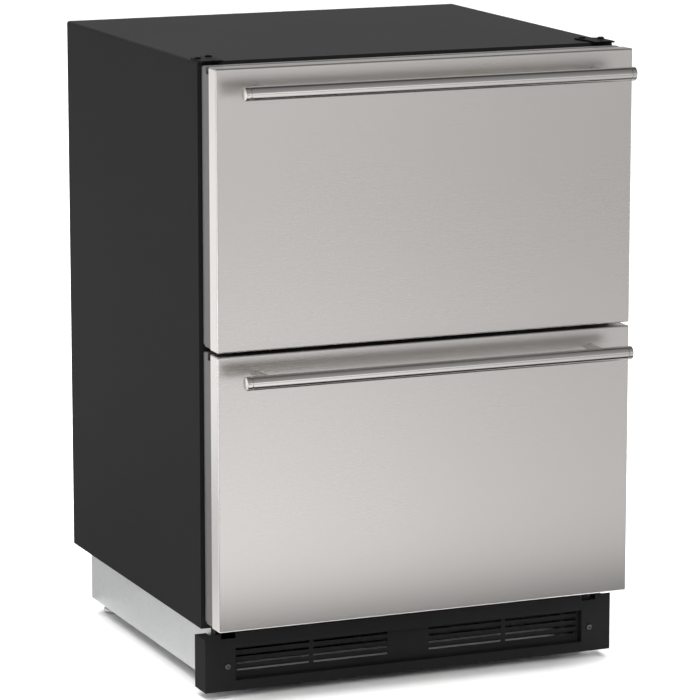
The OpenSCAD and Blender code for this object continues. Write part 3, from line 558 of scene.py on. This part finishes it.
def rect_ring(hx, z0, z1, y, r, n=5):
    """Rounded rectangle in X and Z at depth y, millimetres, as row-frame points."""
    pts = []
    for cx, cz, a0 in ((hx - r, z1 - r, 0), (-hx + r, z1 - r, 90), (-hx + r, z0 + r, 180), (hx - r, z0 + r, 270)):
        for k in range(n + 1):
            a = math.radians(a0 + 90 * k / n)
            pts.append(mm(cx + r * math.cos(a), y, cz + r * math.sin(a)))
    return pts


def front_pan(u, z0, z1):
    """Folded stainless pan: rounded face edges, tight corners, sides, and a lip turned in behind.
    The sheet's outside, lip and inside are one closed skin."""
    h, d, R, t = 303.0, 27.0, 2.5, 1.2
    rings = []
    for k in range(7):                      # face edge, a quarter turn
        a = math.radians(90 * k / 6)
        inset = R - R * math.sin(a)
        rings.append(rect_ring(h - inset, z0 + inset, z1 - inset, R - R * math.cos(a), max(0.35, 2.2 - inset)))
    rings.append(rect_ring(h, z0, z1, d - 0.9, 2.2))
    for k in range(1, 5):                   # fold of the lip
        a = math.radians(90 * k / 4)
        inset = 0.9 - 0.9 * math.cos(a)
        rings.append(rect_ring(h - inset, z0 + inset, z1 - inset, d - 0.9 + 0.9 * math.sin(a), max(0.6, 2.2 - inset)))
    rings.append(rect_ring(h - 12, z0 + 12, z1 - 12, d, 3.0))
    rings.append(rect_ring(h - 12, z0 + 12, z1 - 12, d - t, 3.0))
    rings.append(rect_ring(h - t, z0 + t, z1 - t, d - t, 1.0))
    rings.append(rect_ring(h - t, z0 + t, z1 - t, R, 1.0))
    rings.append(rect_ring(h - R, z0 + R, z1 - R, t, 0.35))
    bm = bmesh.new()
    vs = [[bm.verts.new(p) for p in r] for r in rings]
    for a, b in zip(vs, vs[1:]):
        for k in range(len(a)):
            j = (k + 1) % len(a)
            bm.faces.new((a[k], a[j], b[j], b[k]))
    bm.faces.new(vs[0])
    bm.faces.new(vs[-1])
    o = finish_mesh(u + "_pan_sheet", bm, MAT["stainless"], 40.0)
    w = o.modifiers.new("weighted", "WEIGHTED_NORMAL")
    w.keep_sharp = True
    w.weight = 80
    return piece(o, u + "_drawer", "stainless", u + "_front_pan")


def handle(u, z1):
    """Turned bar with an end groove and softened ends, and posts with a small foot radius."""
    z, r, ln = z1 - 28.0, 9.47, 563.96
    end = [(0, 0), (r - 1.15, 0), (r - 0.75, 0.08), (r - 0.4, 0.28), (r - 0.14, 0.6), (r, 1.0), (r, 6.4), (r - 0.15, 6.5),
           (r - 1.2, 6.7), (r - 1.2, 7.9), (r - 0.15, 8.1), (r, 8.3)]
    prof = end + [(r, ln * k / 8) for k in range(1, 8)] + [(a, ln - b) for a, b in reversed(end)]
    bar = lathe(u + "_bar_turned", prof, MAT["handle_steel"], along((1, 0, 0), (-ln / 2, -48, z)), 96, 25.0)
    piece(bar, u + "_drawer", "handle_steel", u + "_handle_bar")
    posts = []
    for sx in (-1, 1):
        pr = [(2.5, 0.0), (6.6, 0.0), (6.9, 0.3), (7.0, 0.7), (7.0, 1.6), (6.75, 1.9), (6.75, 2.5), (7.0, 2.8)]
        pr += [(7.0, h) for h in (12, 24, 36, 40.2)]
        pr += [(6.4, 41.6), (2.5, 41.6), (2.5, 22.0), (2.5, 0.0)]
        posts.append(lathe(u + "_post%d" % sx, pr, MAT["handle_steel"], along((0, -1, 0), (sx * 244, 0, z)), 48, 25.0))
    piece(join(u + "_posts_turned", posts), u + "_drawer", "handle_steel", u + "_handle_posts")


def gasket(u, z0, z1):
    """Magnet gasket: dart foot, bellows pleat and the round-cornered bulb, mitred at the corners."""
    prof = [(0.0, 60.0), (0.0, 61.2), (0.5, 62.2), (2.4, 62.6), (3.2, 62.9), (2.3, 63.5), (2.15, 64.3), (2.4, 65.4),
            (3.1, 66.0), (4.0, 66.2), (9.8, 66.2), (11.0, 65.9), (11.7, 65.2), (11.9, 64.2), (11.5, 63.4),
            (10.6, 63.0), (11.2, 62.5), (13.3, 62.3), (13.9, 61.6), (14.0, 60.6), (13.9, 60.0)]
    rings = []
    for cx, cz in ((1, 1), (-1, 1), (-1, -1), (1, -1)):
        rings.append([mm(cx * (296 - o), y, (z1 - o) if cz > 0 else (z0 + o)) for o, y in prof])
    bm = bmesh.new()
    vs = [[bm.verts.new(p) for p in r] for r in rings]
    for q in range(4):
        a, b = vs[q], vs[(q + 1) % 4]
        for k in range(len(prof)):
            j = (k + 1) % len(prof)
            bm.faces.new((a[k], a[j], b[j], b[k]))
    o = finish_mesh(u + "_gasket_profile", bm, MAT["gasket"], 50.0)
    return piece(o, u + "_drawer", "gasket", u + "_gasket")


for u, z0, z1 in (("upper", 487.0, 865.0), ("lower", 106.5, 482.5)):
    front_pan(u, z0, z1)
    handle(u, z1)
gasket("upper", 490.0, 860.0)
gasket("lower", 109.5, 479.5)

# ------------------------------------------------------------ small pieces
def part_of(node, name, test, mat, width=0.0):
    """The faces of a CAD node whose middle passes the test, as a piece that stands for the node."""
    bm = bmesh.new()
    bm.from_mesh(N[node].data)
    bmesh.ops.remove_doubles(bm, verts=bm.verts[:], dist=2e-6)
    bmesh.ops.delete(bm, geom=[f for f in bm.faces if not test(f.calc_center_median())], context="FACES")
    o = finish_mesh(name, bm, mat, 32.0)
    return piece(o, BODY[node], SLOT[node], node)


part_of("cabinet_screws", "grille_screws_fine", lambda c: c.z < 0.5, MAT["screw_bright"])
part_of("cabinet_screws", "bracket_screws_fine", lambda c: c.z >= 0.5, MAT["screw_black"])
for n, wdt in (("upper_bin", 0.35), ("lower_bin", 0.35), ("inner_liner", 1.5), ("slide_outer_members", 0.3),
               ("upper_slide_middle", 0.3), ("lower_slide_middle", 0.3), ("upper_slide_inner", 0.3),
               ("lower_slide_inner", 0.3), ("power_inlet", 0.4), ("filter_drier", 0.5), ("compressor_mounts", 0.3)):
    if n in N:
        refine(n, wdt)

# Black filler strips standing in for shade at the base's side rails, where the front ends are cut back behind the toe
# grille; they keep light from showing through the gap there
bm = bmesh.new()
for sx in (-1, 1):
    bmesh.ops.create_cube(bm, size=1.0, matrix=Matrix.Translation(mm(sx * 285.2, 68.75, 88.7))
                          @ Matrix.Diagonal((0.0012, 0.0163, 0.0153, 1.0)))
piece(finish_mesh("shade_filler_strips", bm, MAT["rubber"], 30.0), "cabinet", SLOT["toe_grille"])
